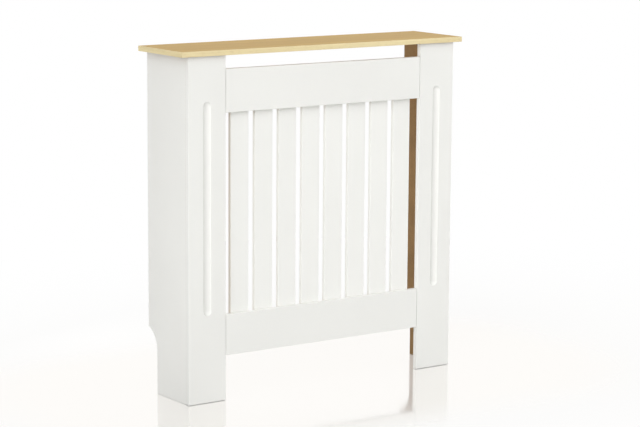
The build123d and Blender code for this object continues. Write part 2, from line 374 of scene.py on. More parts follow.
def fluted_stile(low, high, sizes):
    """A stile's shell, drawn for the right-hand side.

    Rings at growing distances from the flute's centre line cover the flute and its rim, and each
    ring is a line's offset: straight along the sides and a half circle round each end.  The next
    ring lies on the face's border, where the rays of the half circles meet it, and the last on the
    border of the back.
    """
    middle = (low[0] + high[0]) / 2
    foot = sizes.flute_above_floor + sizes.flute_width / 2
    head = high[2] - sizes.flute_below_top - sizes.flute_width / 2
    half = high[0] - middle
    beside_corner, round_rim = 2.5 * MM, 0.4 * MM

    def half_circle(room):
        """Angles round an end, with some that meet the border at and close beside its corners."""
        corner = math.atan2(room, half)
        before, after = math.atan2(room - beside_corner, half), math.atan2(room, half - beside_corner)
        rise = (0, before, corner, after)
        turns = (*rise, *(math.pi - np.array(rise[::-1])))
        steps = (9, 1, 1, 8, 1, 1, 9)
        parts = [np.linspace(a, b, n, endpoint=False) for a, b, n in zip(turns, turns[1:], steps)]
        return np.concatenate(parts)

    rise = np.linspace(foot, head, 13)[:-1]
    upper = half_circle(high[2] - head)
    lower = half_circle(foot - low[2]) + math.pi
    flat = np.zeros_like(rise)
    angle = np.concatenate([flat, upper, flat + math.pi, lower])
    centre = np.concatenate(
        [rise, np.full(len(upper), head), foot + head - rise, np.full(len(lower), foot)]
    )
    across, along = np.cos(angle), np.sin(angle)
    room = np.where(along > 0, high[2] - head, foot - low[2])
    level_reach = half / np.maximum(np.abs(across), 1e-9)
    steep_reach = room / np.maximum(np.abs(along), 1e-9)
    border = np.minimum(level_reach, steep_reach)

    profile = flute_profile(sizes)
    profile = np.concatenate([profile, profile[-1:] + (round_rim, 0.0)])
    everywhere = np.ones_like(angle)
    distance, depth = profile.T[:, :, None] * everywhere
    distance = np.concatenate([distance, [border, border]])
    depth = np.concatenate([depth, np.outer((0.0, high[1] - low[1]), everywhere)])
    rings = np.stack([middle + distance * across, low[1] + depth, centre + distance * along], -1)
    return skin(rings)


def notched_outline(low, high, sizes):
    """A side panel's outline in Y and Z, with the skirting notch at its lower back corner.

    The notch goes straight up and ends in an arc that is tangent to it and meets the back edge.
    """
    front, back = low[1], high[1]
    notch = back - sizes.notch_depth
    sweep = math.acos(1 - sizes.notch_depth / sizes.notch_radius)
    turn = math.pi - np.linspace(0, sweep, 25)
    arc = sizes.notch_radius * np.stack([1 + np.cos(turn), np.sin(turn)], 1) + (notch, sizes.notch_height)
    return np.concatenate([[(front, low[2]), (notch, low[2])], arc, [(back, high[2]), (front, high[2])]])


def facing_axes(direction):
    """Three unit vectors, shape (3, 3), the last of them along direction."""
    along = np.array(direction, float)
    side = np.cross(along, (0, 0, 1)) if abs(along[2]) < 0.9 else np.array([1.0, 0, 0])
    side = side / np.linalg.norm(side)
    return np.stack([side, np.cross(along, side), along])


def screw(seat, direction, reach, sizes, turn):
    """A pan-headed screw with a crossed recess, its head's underside at seat.

    In polar form a cross's outline is the smaller of arm / cos(a) and half width / sin(a), with a
    the angle from the nearest arm.  Rings go from the recess's floor up to its rim, over the dome,
    whose height falls with the square of the radius, and down the shank to the point.
    """
    around = 32
    angle = np.arange(around) * 2 * math.pi / around
    from_arm = np.abs((angle + math.pi / 4) % (math.pi / 2) - math.pi / 4)
    head, top, shank = sizes.screw_head, sizes.head_height, sizes.screw_shank
    arm, slot, edge = 0.62 * head, 0.15 * head, 0.45 * top
    cross = np.minimum(arm / np.cos(from_arm), slot / np.maximum(np.sin(from_arm), 1e-6))
    circle = np.ones(around)

    def dome(radius):
        """Height of the head's top above its seat, at a radius."""
        return edge + (top - edge) * (1 - (radius / head) ** 2)

    pit = [(share * cross, circle * (top * rise)) for share, rise in ((0.35, 0.35), (0.9, 0.5))]
    over = [circle * head * share for share in (0.68, 0.78, 0.88, 0.96)]
    point = [(shank, 2 * shank - reach), (0.1 * shank, -reach)]
    under = [(head, edge * 0.8), (head, 0.0), (shank, 0.0), *point]
    rings = pit + [(out, dome(out)) for out in (cross, *over)]
    rings += [(circle * out, circle * rise) for out, rise in under]
    radius, height = np.array(rings).transpose(1, 0, 2)
    turned = angle + turn
    local = np.stack([radius * np.cos(turned), radius * np.sin(turned), height], -1)
    return skin(np.array(seat) + local @ facing_axes(direction))


def tube(path, radius, around=8):
    """A round wire carried along a level path of points: a circle square to the path at each point."""
    ahead = np.gradient(path, axis=0)
    ahead /= np.linalg.norm(ahead, axis=1)[:, None]
    side = np.broadcast_to((0.0, 0.0, 1.0), ahead.shape)
    up = np.cross(ahead, side)
    angle = np.arange(around) * 2 * math.pi / around
    ring = side[:, None] * np.cos(angle)[None, :, None] + up[:, None] * np.sin(angle)[None, :, None]
    return skin(path[:, None] + radius * ring)


def staple(x, y, z, width, leg, wire):
    """A wire staple: a crown along X and two legs towards the front, joined by quarter circles."""
    bend = 1.2 * wire
    half = width / 2 - wire / 2
    quarter = np.linspace(0, math.pi / 2, 5)
    right = np.stack([half - bend + bend * np.sin(quarter), bend * np.cos(quarter) - bend], 1)
    left = right[::-1] * (-1, 1)
    plan = np.concatenate([[(-half, -leg)], left, right, [(half, -leg)]])
    path = np.stack([x + plan[:, 0], y + plan[:, 1], np.full(len(plan), z)], 1)
    return tube(path, wire / 2)


# ---------------------------------------------------------------- node wiring


class Wiring:
    """Adds nodes to one tree and joins their sockets."""

    def __init__(self, tree):
        self.tree = tree

    def add(self, kind, inputs=None, **settings):
        """A node with its settings, and its inputs fed by name or number."""
        node = self.tree.nodes.new(kind)
        for name, value in settings.items():
            setattr(node, name, value)
        for name, value in (inputs or {}).items():
            self.feed(node.inputs[name], value)
        return node

    def first(self, kind, inputs=None, **settings):
        """The first output of a new node."""
        return self.add(kind, inputs, **settings).outputs[0]

    def feed(self, socket, value):
        """Joins a socket to another, or sets its own value."""
        if isinstance(value, bpy.types.NodeSocket):
            self.tree.links.new(value, socket)
        elif socket.type == "RGBA" and len(value) == 3:
            socket.default_value = (*value, 1.0)
        else:
            socket.default_value = value

    def math(self, operation, first, second=0.0):
        """One sum on plain numbers."""
        return self.first("ShaderNodeMath", {0: first, 1: second}, operation=operation)

    def times(self, first, second):
        """The product of two plain numbers."""
        return self.math("MULTIPLY", first, second)

    def cloud(self, vector, scale, low, high, detail=3.0):
        """Soft noise carried to a range."""
        return self.spread(self.noise(vector, scale, detail), low, high)

    def add_share(self, base, share, extra):
        """A number with a share of another added to it."""
        return self.math("ADD", base, self.times(extra, share))

    def vector(self, operation, first, second=(0.0, 0.0, 0.0)):
        """One sum on vectors."""
        return self.first("ShaderNodeVectorMath", {0: first, 1: second}, operation=operation)

    def measure(self, operation, first, second=(0.0, 0.0, 0.0)):
        """A plain number worked out from vectors."""
        node = self.add("ShaderNodeVectorMath", {0: first, 1: second}, operation=operation)
        return node.outputs["Value"]

    def mix(self, share, first, second, blend="MIX"):
        """A colour between two others. The node's sockets 6, 7 and 2 are those for colours."""
        inputs = {0: share, 6: first, 7: second}
        return self.add("ShaderNodeMix", inputs, data_type="RGBA", blend_type=blend).outputs[2]

    def tint(self, value, factor):
        """A colour made lighter or darker by a factor."""
        grey = self.first("ShaderNodeCombineColor", {0: factor, 1: factor, 2: factor})
        return self.mix(1.0, value, grey, "MULTIPLY")

    def ramp(self, value, low, high, to_low=0.0, to_high=1.0):
        """A value carried smoothly from one range to another."""
        inputs = {"Value": value, "From Min": low, "From Max": high, "To Min": to_low, "To Max": to_high}
        return self.first("ShaderNodeMapRange", inputs, interpolation_type="SMOOTHSTEP")

    def spread(self, value, low, high):
        """Noise, most of which lies within 0.2 of 0.5, carried smoothly to a range."""
        return self.ramp(value, 0.3, 0.7, low, high)

    def noise(self, vector, scale, detail=3.0, roughness=0.5, distortion=0.0):
        """Soft irregular values around 0.5."""
        inputs = {"Vector": vector, "Scale": scale, "Detail": detail}
        inputs |= {"Roughness": roughness, "Distortion": distortion}
        return self.first("ShaderNodeTexNoise", inputs)

    def streaks(self, vector, scale, detail=3.0, roughness=0.5):
        """Noise whose scale differs from axis to axis."""
        return self.noise(self.moved(vector, Scale=scale), 1.0, detail, roughness)

    def moved(self, vector, **changes):
        """A pattern's coordinates, with a Location, Rotation or Scale."""
        return self.first("ShaderNodeMapping", {"Vector": vector, **changes})

    def group(self, name, inputs):
        """A shared node group with its own values."""
        return self.add("ShaderNodeGroup", inputs, node_tree=shared(name)).outputs

    def blend(self, share, first, second):
        """A shader between two others."""
        return self.first("ShaderNodeMixShader", {0: share, 1: first, 2: second})


SOCKETS = dict.fromkeys(("Point", "Centre", "Half Size", "Along", "Pith"), "NodeSocketVector")
SOCKETS |= dict.fromkeys(("Colour", "Paint"), "NodeSocketColor")
GROUPS = {}


def shared_group(name, inputs, outputs):
    """Keeps a function that wires a group, with the names of the group's sockets.

    The function is given the wiring and the inputs, and returns what feeds each output.
    """

    def keep(build):
        GROUPS[name] = inputs, outputs, build
        return build

    return keep


def shared(name):
    """A shared group by name, built the first time that it is asked for."""
    if name in bpy.data.node_groups:
        return bpy.data.node_groups[name]
    inputs, outputs, build = GROUPS[name]
    tree = bpy.data.node_groups.new(name, "ShaderNodeTree")
    for way, sockets in (("INPUT", inputs), ("OUTPUT", outputs)):
        for socket in sockets:
            kind = SOCKETS.get(socket, "NodeSocketFloat")
            tree.interface.new_socket(name=socket, in_out=way, socket_type=kind)
    wire = Wiring(tree)
    given = wire.add("NodeGroupInput").outputs
    leave = wire.add("NodeGroupOutput").inputs
    for socket, value in zip(outputs, build(wire, given)):
        wire.feed(leave[socket], value)
    return tree


@shared_group("Board edges", ("Point", "Centre", "Half Size"), ("Distance",))
def board_edges(wire, given):
    """Distance from a point on a board to its nearest edge.

    Each axis gives the distance to the nearer of two faces.  On the surface the smallest of the
    three is nothing, and the middle one is the distance to the nearest edge.
    """
    offset = wire.vector("SUBTRACT", given["Point"], given["Centre"])
    inside = wire.vector("SUBTRACT", given["Half Size"], wire.vector("ABSOLUTE", offset))
    x, y, z = wire.add("ShaderNodeSeparateXYZ", {0: inside}).outputs
    smaller, larger = wire.math("MINIMUM", x, y), wire.math("MAXIMUM", x, y)
    middle = wire.math("MAXIMUM", smaller, wire.math("MINIMUM", larger, z))
    return [wire.math("MAXIMUM", middle, 0.0)]


@shared_group("Bare side", ("Point", "Along", "Plane"), ("Mask",))
def bare_side(wire, given):
    """1 on the side of a board that was left bare, with a ragged edge where the paint stops."""
    depth = wire.measure("DOT_PRODUCT", given["Point"], given["Along"])
    depth = wire.math("SUBTRACT", depth, given["Plane"])
    for scale, share in ((900.0, 0.16 * MM), (70.0, 0.12 * MM)):
        wander = wire.math("SUBTRACT", wire.noise(given["Point"], scale, 2.0), 0.5)
        depth = wire.add_share(depth, share, wander)
    return [wire.ramp(depth, -0.17 * MM, -0.10 * MM)]


@shared_group("Sprayed paint", ("Point", "Colour", "Edge"), ("Colour", "Roughness", "Height"))
def sprayed_paint(wire, given):
    """Sprayed satin paint: tone, sheen and the fine skin of the film, thinner along the arrises."""
    point = given["Point"]
    cloud = wire.cloud(point, 5.0, 0.988, 1.008, 2.0)
    speck = wire.cloud(point, 420.0, -0.006, 0.006, 2.0)
    sprayed = wire.tint(given["Colour"], wire.math("ADD", cloud, speck))
    worn_edge = wire.add_share(given["Edge"], 1.2 * MM, wire.noise(point, 260.0))
    thin = wire.ramp(worn_edge, 0.4 * MM, 1.4 * MM, 0.35, 0.0)
    colour = wire.mix(thin, sprayed, wire.tint(given["Colour"], 0.93))
    peel, wave = wire.noise(point, 520.0, 1.0), wire.noise(point, 60.0, 1.0)
    return colour, wire.cloud(point, 36.0, 0.33, 0.43), wire.add_share(peel, 1.5, wave)


@shared_group("Bare fibreboard", ("Point", "Colour", "Paint", "Edge"), ("Colour", "Height"))
def bare_fibreboard(wire, given):
    """Bare fibreboard: matted short fibres, cloudy tone, and a mist of paint near the edges."""
    point = given["Point"]
    cloud = wire.cloud(point, 14.0, 0.90, 1.08)
    matted = wire.noise(wire.moved(point, Scale=(1.0, 1.0, 0.45)), 1300.0, 3.0, 0.6, 0.6)
    fibre = wire.ramp(matted, 0.32, 0.68, 0.84, 1.14)
    toned = wire.tint(given["Colour"], wire.times(cloud, fibre))
    flakes = wire.moved(point, Location=(0.3, 0.1, 0.2), Scale=(1.0, 1.0, 0.3))
    chips = wire.ramp(wire.noise(flakes, 620.0, 2.0), 0.66, 0.74, 0.0, 0.45)
    toned = wire.mix(chips, toned, wire.tint(given["Colour"], 0.55))
    reach = wire.add_share(given["Edge"], 12 * MM, wire.noise(point, 55.0))
    mist = wire.ramp(reach, 3 * MM, 10 * MM, 0.25, 0.0)
    drops = wire.ramp(wire.noise(point, 1700.0, 1.0), 0.42, 0.62)
    return wire.mix(wire.times(mist, drops), toned, given["Paint"]), matted


@shared_group("Printed grain", ("Point",), ("Bands", "Lines", "Pores"))
def printed_grain(wire, given):
    """Printed wood grain along X: broad bands, fine lines and short dark pores."""
    wander = wire.times(wire.streaks(given["Point"], (1.4, 5.0, 5.0), 2.0), 0.035)
    bent = wire.vector("ADD", given["Point"], wire.first("ShaderNodeCombineXYZ", {1: wander}))
    bands = wire.streaks(bent, (1.6, 38.0, 38.0), 3.0, 0.55)
    lines = wire.streaks(bent, (7.0, 420.0, 420.0), 3.0, 0.6)
    pores = wire.streaks(bent, (75.0, 1100.0, 1100.0), 1.0)
    return bands, lines, wire.ramp(pores, 0.62, 0.70)


@shared_group("Growth rings", ("Point", "Pith", "Ring Width"), ("Late Wood", "Fibre"))
def growth_rings(wire, given):
    """Solid wood with its fibres along Z: rings round a pith line, and fine fibres between them."""
    point = given["Point"]
    flat = wire.vector("MULTIPLY", wire.vector("SUBTRACT", point, given["Pith"]), (1.0, 1.0, 0.0))
    wobble = wire.streaks(point, (9.0, 9.0, 1.6), 2.0)
    radius = wire.add_share(wire.measure("LENGTH", flat), 12 * MM, wobble)
    ring = wire.math("FRACT", wire.math("DIVIDE", radius, given["Ring Width"]))
    late = wire.times(wire.ramp(ring, 0.35, 0.86), wire.ramp(ring, 1.0, 0.93))
    return late, wire.streaks(point, (1500.0, 1500.0, 45.0), 2.0)


@shared_group("Fine grain", ("Point", "Scale"), ("Grain", "Patches"))
def fine_grain(wire, given):
    """Fine grain of metal, plastic or wire, with slow patches under it."""
    slow = wire.times(given["Scale"], 0.06)
    return wire.noise(given["Point"], given["Scale"], 3.0, 0.6), wire.noise(given["Point"], slow, 2.0)


# ---------------------------------------------------------------- materials


def new_material(name):
    """An empty material, its wiring, its surface shader and the piece's own coordinates."""
    material = bpy.data.materials.new(name)
    material.use_nodes = True
    tree = material.node_tree
    tree.nodes.clear()
    wire = Wiring(tree)
    surface = wire.add("ShaderNodeBsdfPrincipled")
    wire.add("ShaderNodeOutputMaterial", {"Surface": surface.outputs[0]})
    point = wire.add("ShaderNodeTexCoord").outputs["Object"]
    return material, wire, surface, point


def finish(wire, surface, colour, roughness, height, strength, depth):
    """Feeds a colour, a roughness and a bump to the surface shader."""
    bump = wire.first("ShaderNodeBump", {"Strength": strength, "Distance": depth, "Height": height})
    for name, value in (("Base Color", colour), ("Roughness", roughness), ("Normal", bump)):
        wire.feed(surface.inputs[name], value)


def scaled(tone, shares):
    """A colour times one share, or three."""
    return tuple(np.array(tone) * shares)


def painted_board(node, along, plane, lightness=1.0):
    """White satin paint on a board, and bare fibreboard on the side past a plane."""
    colours = bpy.context.scene.cover_colours
    material, wire, surface, point = new_material(f"White paint on {node}")
    low, high = corners(node)
    place = wire.moved(point, Location=tuple((low + high) * PATTERN_STEP))
    box = {"Point": point, "Centre": (low + high) / 2, "Half Size": (high - low) / 2}
    edge = wire.group("Board edges", box)["Distance"]
    bare = wire.group("Bare side", {"Point": point, "Along": along, "Plane": plane})["Mask"]
    tone = scaled(colours.paint, lightness)
    paint = wire.group("Sprayed paint", {"Point": place, "Colour": tone, "Edge": edge})
    values = {"Point": place, "Colour": colours.board, "Paint": colours.paint, "Edge": edge}
    fibre = wire.group("Bare fibreboard", values)
    colour = wire.mix(bare, paint["Colour"], fibre["Colour"])
    roughness = wire.ramp(bare, 0.0, 1.0, paint["Roughness"], 0.85)
    film = wire.times(paint["Height"], wire.math("SUBTRACT", 1.0, bare))
    height = wire.add_share(film, 2.0, wire.times(fibre["Height"], bare))
    finish(wire, surface, colour, roughness, height, 0.5, 0.04 * MM)
    return material


def wood_effect(name, tone, grain_turn, bare_plane=None):
    """Printed wood-effect foil, its grain along X after a quarter turn or none."""
    material, wire, surface, point = new_material(name)
    grain = wire.group("Printed grain", {"Point": wire.moved(point, Rotation=(0.0, 0.0, grain_turn))})
    bands, lines = wire.spread(grain["Bands"], 0.94, 1.05), wire.spread(grain["Lines"], 0.965, 1.03)
    printed = wire.tint(tone, wire.times(bands, lines))
    warm = wire.ramp(grain["Bands"], 0.35, 0.65, 0.30, 0.0)
    printed = wire.mix(warm, printed, scaled(tone, (0.93, 0.86, 0.80)))
    dark = wire.times(grain["Pores"], 0.35)
    printed = wire.mix(dark, printed, scaled(tone, (0.70, 0.62, 0.52)))
    if bare_plane is None:
        roughness = wire.spread(grain["Lines"], 0.52, 0.62)
    else:
        down = {"Point": point, "Along": (0.0, 0.0, -1.0), "Plane": bare_plane}
        bare = wire.group("Bare side", down)["Mask"]
        board_tone = bpy.context.scene.cover_colours.board
        values = {"Point": point, "Colour": board_tone, "Paint": tone, "Edge": 1.0}
        printed = wire.mix(bare, printed, wire.group("Bare fibreboard", values)["Colour"])
        roughness = wire.ramp(bare, 0.0, 1.0, 0.57, 0.85)
    height = wire.math("SUBTRACT", grain["Lines"], wire.times(grain["Pores"], 0.6))
    surface.inputs["Specular IOR Level"].default_value = 0.2
    finish(wire, surface, printed, roughness, height, 0.35, 0.05 * MM)
    return material


def solid_wood(name, tone, pith, ring_width, late_tone, turn=(0.0, 0.0, 0.0)):
    """Real wood: growth rings in two tones, with fine fibres."""
    material, wire, surface, point = new_material(name)
    values = {"Point": wire.moved(point, Rotation=turn), "Pith": pith, "Ring Width": ring_width}
    rings = wire.group("Growth rings", values)
    early = wire.tint(tone, wire.spread(rings["Fibre"], 0.93, 1.05))
    colour = wire.mix(wire.times(rings["Late Wood"], 0.75), early, late_tone)
    roughness = wire.ramp(rings["Late Wood"], 0.0, 1.0, 0.68, 0.52)
    finish(wire, surface, colour, roughness, rings["Fibre"], 0.4, 0.08 * MM)
    return material


def plated_metal(name, tone, low_sheen, high_sheen, scale):
    """Plated steel: fine grain, cloudy plating and an uneven sheen."""
    material, wire, surface, point = new_material(name)
    grain = wire.group("Fine grain", {"Point": point, "Scale": scale})
    tinted = wire.tint(tone, wire.spread(grain["Grain"], 0.92, 1.06))
    cloudy = wire.mix(wire.ramp(grain["Patches"], 0.4, 0.65, 0.0, 0.35), tinted, (0.60, 0.58, 0.50))
    sheen = wire.ramp(grain["Patches"], 0.35, 0.65, low_sheen, high_sheen)
    surface.inputs["Metallic"].default_value = 1.0
    finish(wire, surface, cloudy, sheen, grain["Grain"], 0.25, 0.03 * MM)
    return material


def moulded_plastic(name, tone):
    """Moulded plastic with a spark-eroded grain."""
    material, wire, surface, point = new_material(name)
    grain = wire.group("Fine grain", {"Point": point, "Scale": 1400.0})
    colour = wire.tint(tone, wire.spread(grain["Patches"], 0.9, 1.12))
    roughness = wire.spread(grain["Grain"], 0.42, 0.58)
    finish(wire, surface, colour, roughness, grain["Grain"], 0.5, 0.06 * MM)
    return material


def zinc_plating():
    """The material of plates, brackets and screws, made once."""
    name = "Zinc plating"
    tone = bpy.context.scene.cover_colours.zinc
    return bpy.data.materials.get(name) or plated_metal(name, tone, 0.26, 0.42, 900.0)


# ---------------------------------------------------------------- operators


def painted_piece(node, shell, along, plane, lightness=1.0):
    """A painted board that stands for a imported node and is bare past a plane."""
    material = painted_board(node, along, plane, lightness)
    return add_piece(f"{node}_board", [shell], material, "white_paint", node)


def front_board(sizes, node, gap, axis, lightness=1.0):
    """A rail or slat, short by a gap at both ends along X, with the edges of its front face eased most."""
    low, high = corners(node)
    plane = high[1]
    low[0], high[0] = low[0] + gap, high[0] - gap
    piece = painted_piece(node, board(low, high, axis), (0.0, 1.0, 0.0), plane, lightness)

    def rule(middles):
        """Full along the front face, and only broken behind."""
        on_low, _, along_edge = box_edges(middles, low, high)
        return np.where(along_edge, np.where(on_low[:, 1], 1.0, sizes.back_arris / sizes.arris), 0.0)

    ease_edges(piece, sizes.arris, rule=rule)


class COVER_OT_top(Operator):
    """Build the wood-effect top board and the strips round its edges"""

    bl_idname = "cover.top"
    bl_label = "Top board and edging"

    def execute(self, context):
        sizes, colours = context.scene.cover_sizes, context.scene.cover_colours
        low, high = corners("top_panel")
        foil = wood_effect("Wood-effect foil", colours.foil, 0.0, -low[2])
        core = add_piece("top_board", [board(low, high, 0)], foil, "wood_effect_top", "top_panel")
        ease_edges(core, sizes.core_edge, 1)
        long_strip = wood_effect("Edging along the length", colours.edging, 0.0)
        short_strip = wood_effect("Edging across the ends", colours.edging, math.pi / 2)
        box = np.array(CAD_BOX)
        for place, axis in {"front": 0, "rear": 0, "left": 1, "right": 1}.items():
            node = f"top_{place}_edging"
            low, high = corners(node)
            shell, material = board(low, high, axis), short_strip if axis else long_strip
            piece = add_piece(f"{place}_edging_strip", [shell], material, "wood_effect_edging", node)

            def rule(middles):
                """Full along the top's outer sides, and nothing where the strip meets the core."""
                across = 1 - axis
                outside = np.abs(middles[:, across, None] - box[:, across]).min(1) < TOUCHING
                return np.where(outside & box_edges(middles, low, high)[2], 1.0, 0.0)

            ease_edges(piece, sizes.top_edge, rule=rule)
        return {"FINISHED"}


class COVER_OT_side_panels(Operator):
    """Build the two side panels with their skirting notches"""

    bl_idname = "cover.side_panels"
    bl_label = "Side panels"

    def execute(self, context):
        sizes = context.scene.cover_sizes
        for side, node, low, high in both_sides("side_panel"):
            shell = prism(notched_outline(low, high, sizes), 0, low[0], high[0])
            piece = painted_piece(node, mirrored(shell, side), (-side, 0.0, 0.0), -low[0])

            def rule(middles):
                """Full on the outer face, only broken on the inner, and nothing where it is glued."""
                on_low, on_high, _ = box_edges(middles * (side, 1, 1), low, high)
                inner = np.where(on_low[:, 0], sizes.back_arris / sizes.arris, 0.0)
                return np.where(on_low[:, 1], 0.0, np.where(on_high[:, 0], 1.0, inner))

            ease_edges(piece, sizes.arris, rule=rule)
        return {"FINISHED"}


class COVER_OT_stiles(Operator):
    """Build the two front stiles with their routed flutes"""

    bl_idname = "cover.stiles"
    bl_label = "Fluted stiles"

    def execute(self, context):
        sizes = context.scene.cover_sizes
        front, back = sizes.arris / sizes.leg_corner, sizes.back_arris / sizes.leg_corner
        for side, node, low, high in both_sides("stile"):
            shell = mirrored(fluted_stile(low, high, sizes), side)
            piece = painted_piece(node, shell, (0.0, 1.0, 0.0), high[1])

            def rule(middles):
                """Full at the leg's corner, less in front, broken behind, nothing where it is glued."""
                on_low, on_high, along_edge = box_edges(middles * (side, 1, 1), low, high)
                leg = on_high[:, 0]
                behind = np.where(leg & on_high[:, 1], 0.0, back)
                weights = np.where(on_low[:, 1], np.where(leg, 1.0, front), behind)
                return np.where(along_edge, weights, 0.0)

            ease_edges(piece, sizes.leg_corner, 4, rule=rule)
        return {"FINISHED"}


class COVER_OT_rails(Operator):
    """Build the top and bottom rails"""

    bl_idname = "cover.rails"
    bl_label = "Rails"

    def execute(self, context):
        sizes = context.scene.cover_sizes
        for node in ("top_rail", "bottom_rail"):
            front_board(sizes, node, sizes.joint_gap, 0)
        return {"FINISHED"}


class COVER_OT_slats(Operator):
    """Build the slats of the grille"""

    bl_idname = "cover.slats"
    bl_label = "Slats"

    def execute(self, context):
        for node in nodes_of("slat_"):
            front_board(context.scene.cover_sizes, node, 0.0, 2, SLAT_LIGHTNESS)
        return {"FINISHED"}


class COVER_OT_battens(Operator):
    """Build the softwood battens in the corners of the legs"""

    bl_idname = "cover.battens"
    bl_label = "Corner battens"

    def execute(self, context):
        sizes, tone = context.scene.cover_sizes, context.scene.cover_colours.softwood
        late_wood = (0.42, 0.24, 0.11)
        bevel, ring_width = sizes.batten_bevel, 3.4 * MM
        for side, node, low, high in both_sides("corner_batten"):
            (left, front, foot), (right, back, head) = low, high
            outline = [(left, front), (right, front), (right, back)]
            outline += [(left + bevel, back), (left, back - bevel)]
            shell = mirrored(prism(outline, 2, foot, head), side)
            pith = (side * (right + 21 * MM), front - 12 * MM, 0.0)
            material = solid_wood(f"Softwood of {node}", tone, pith, ring_width, late_wood)
            piece = add_piece(f"{node}_wood", [shell], material, "softwood", node)
            ease_edges(piece, sizes.batten_edge, 2)
        return {"FINISHED"}


class COVER_OT_dowels(Operator):
    """Give the dowels between rails and stiles their beech"""

    bl_idname = "cover.dowels"
    bl_label = "Dowels"

    def execute(self, context):
        tone, late_wood = context.scene.cover_colours.beech, (0.45, 0.29, 0.16)
        pith, ring_width, turn = (0.4, 0.03, 0.0), 2.1 * MM, (0.0, math.pi / 2, 0.0)
        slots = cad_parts["rail_dowels"].material_slots
        if not slots:
            raise RuntimeError("rail_dowels has no material slot")
        material = solid_wood("Beech", tone, pith, ring_width, late_wood, turn)
        for slot in slots:
            slot.material = material
        return {"FINISHED"}


class COVER_OT_hardware(Operator):
    """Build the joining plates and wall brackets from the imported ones, with eased edges"""

    bl_idname = "cover.hardware"
    bl_label = "Plates and brackets"

    def execute(self, context):
        for node in nodes_of("joining_plate", "wall_bracket"):
            piece = merged_copy(node, f"{node}_steel", zinc_plating(), "zinc_plated_steel")
            ease_edges(piece, context.scene.cover_sizes.steel_edge, 2, angle=50.0)
        return {"FINISHED"}


class COVER_OT_blocks(Operator):
    """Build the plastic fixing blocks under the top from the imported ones, with eased edges"""

    bl_idname = "cover.blocks"
    bl_label = "Fixing blocks"

    def execute(self, context):
        material = moulded_plastic("Brown plastic", context.scene.cover_colours.plastic)
        for node in nodes_of("fixing_block"):
            piece = merged_copy(node, f"{node}_moulding", material, "brown_plastic")
            ease_edges(piece, context.scene.cover_sizes.plastic_edge, 2, angle=40.0)
        return {"FINISHED"}


class COVER_OT_screws(Operator):
    """Build the screws of the plates, blocks and brackets"""

    bl_idname = "cover.screws"
    bl_label = "Screws"

    def execute(self, context):
        sizes = context.scene.cover_sizes
        places = {"plate": plate_screws(), "block": block_screws(), "bracket": bracket_screws()}
        for kind, screws in places.items():
            shells = [screw(*place, sizes, SCREW_TURN * count) for count, place in enumerate(screws)]
            name, node = f"{kind}_screws_cross_headed", f"{kind}_screws"
            add_piece(name, shells, zinc_plating(), "zinc_plated_steel", node)
        return {"FINISHED"}


def plate_screws():
    """Seat, facing and reach of the two screws of each joining plate."""
    inset = 12 * MM
    for place in ("lower_left", "lower_right", "upper_left", "upper_right"):
        low, high = corners(f"{place}_joining_plate")
        for x in (low[0] + inset, high[0] - inset):
            yield (x, high[1], (low[2] + high[2]) / 2), (0, 1, 0), 9 * MM


def block_screws():
    """Seat, facing and reach of the two screws of each fixing block, those on the left first."""
    wall, offset, reach = 8 * MM, 8 * MM, 15 * MM
    pairs = zip(both_sides("front_fixing_block"), both_sides("rear_fixing_block"))
    for side, _, low, high in (block for pair in pairs for block in pair):
        x, y, z = (low + high) / 2
        yield (side * (high[0] - wall), y - offset, z), (-side, 0, 0), reach
        yield (side * x, y + offset, high[2] - wall), (0, 0, -1), reach


def bracket_screws():
    """Seat, facing and reach of the two screws of each wall bracket."""
    inset, half_spacing, thickness = 21 * MM, 10 * MM, 2 * MM
    for side, _, low, high in both_sides("wall_bracket"):
        middle = (low[2] + high[2]) / 2
        for z in (middle - half_spacing, middle + half_spacing):
            yield (side * (high[0] - thickness), high[1] - inset, z), (-side, 0, 0), 9 * MM


class COVER_OT_staples(Operator):
    """Build the staples that hold the slats to the rails"""

    bl_idname = "cover.staples"
    bl_label = "Staples"

    def execute(self, context):
        wire = context.scene.cover_sizes.staple_wire
        offset, crown, leg = 12 * MM, 10 * MM, 13 * MM
        lower_rail_top, upper_rail_foot = corners("bottom_rail")[1][2], corners("top_rail")[0][2]
        shells = []
        for node in nodes_of("slat_"):
            low, high = corners(node)
            middle = (low[0] + high[0]) / 2
            for z in ((low[2] + lower_rail_top) / 2, (high[2] + upper_rail_foot) / 2):
                for x in (middle - offset, middle + offset):
                    shells.append(staple(x, high[1], z, crown, leg, wire))
        tone = context.scene.cover_colours.wire
        material = plated_metal("Galvanised wire", tone, 0.3, 0.45, 1200.0)
        add_piece("slat_staples_wire", shells, material, "staple_wire", "slat_staples")
        return {"FINISHED"}


# ---------------------------------------------------------------- stage

# Level, turn, rise and the angles where each broad light ends and where it is full, in degrees.
BROAD_LIGHTS = (
    ("left_level", -54, 20, 36, 5),
    ("front_level", -25, 42, 50, 12),
    ("right_level", 70, 12, 50, 12),
    ("backdrop_level", 138, 10, 72, 26),
)
# Name, level, the point aimed at, turn and rise, distance, width and height of each lamp.
LAMPS = (
    ("Side lamp", "side_lamp", (CAD_BOX[0][0], CAD_BOX[0][1], 0.40), (-92.0, 0.0), 0.15, 0.05, 0.75),
    ("Back lamp", "back_lamp", (0.0, 0.0, 0.47), (-160.0, 2.0), 0.8, 0.25, 0.60),
)
WHITE = (1.0, 1.0, 1.0)
CAMERA_PLACE = (-2.9007, -4.2182, 1.2544)


class COVER_OT_stage(Operator):
    """Build the floor, the light and the camera"""

    bl_idname = "cover.stage"
    bl_label = "Stage"

    def execute(self, context):
        set_world(context)
        set_floor(context)
        set_lights(context)
        set_camera(context)
        return {"FINISHED"}


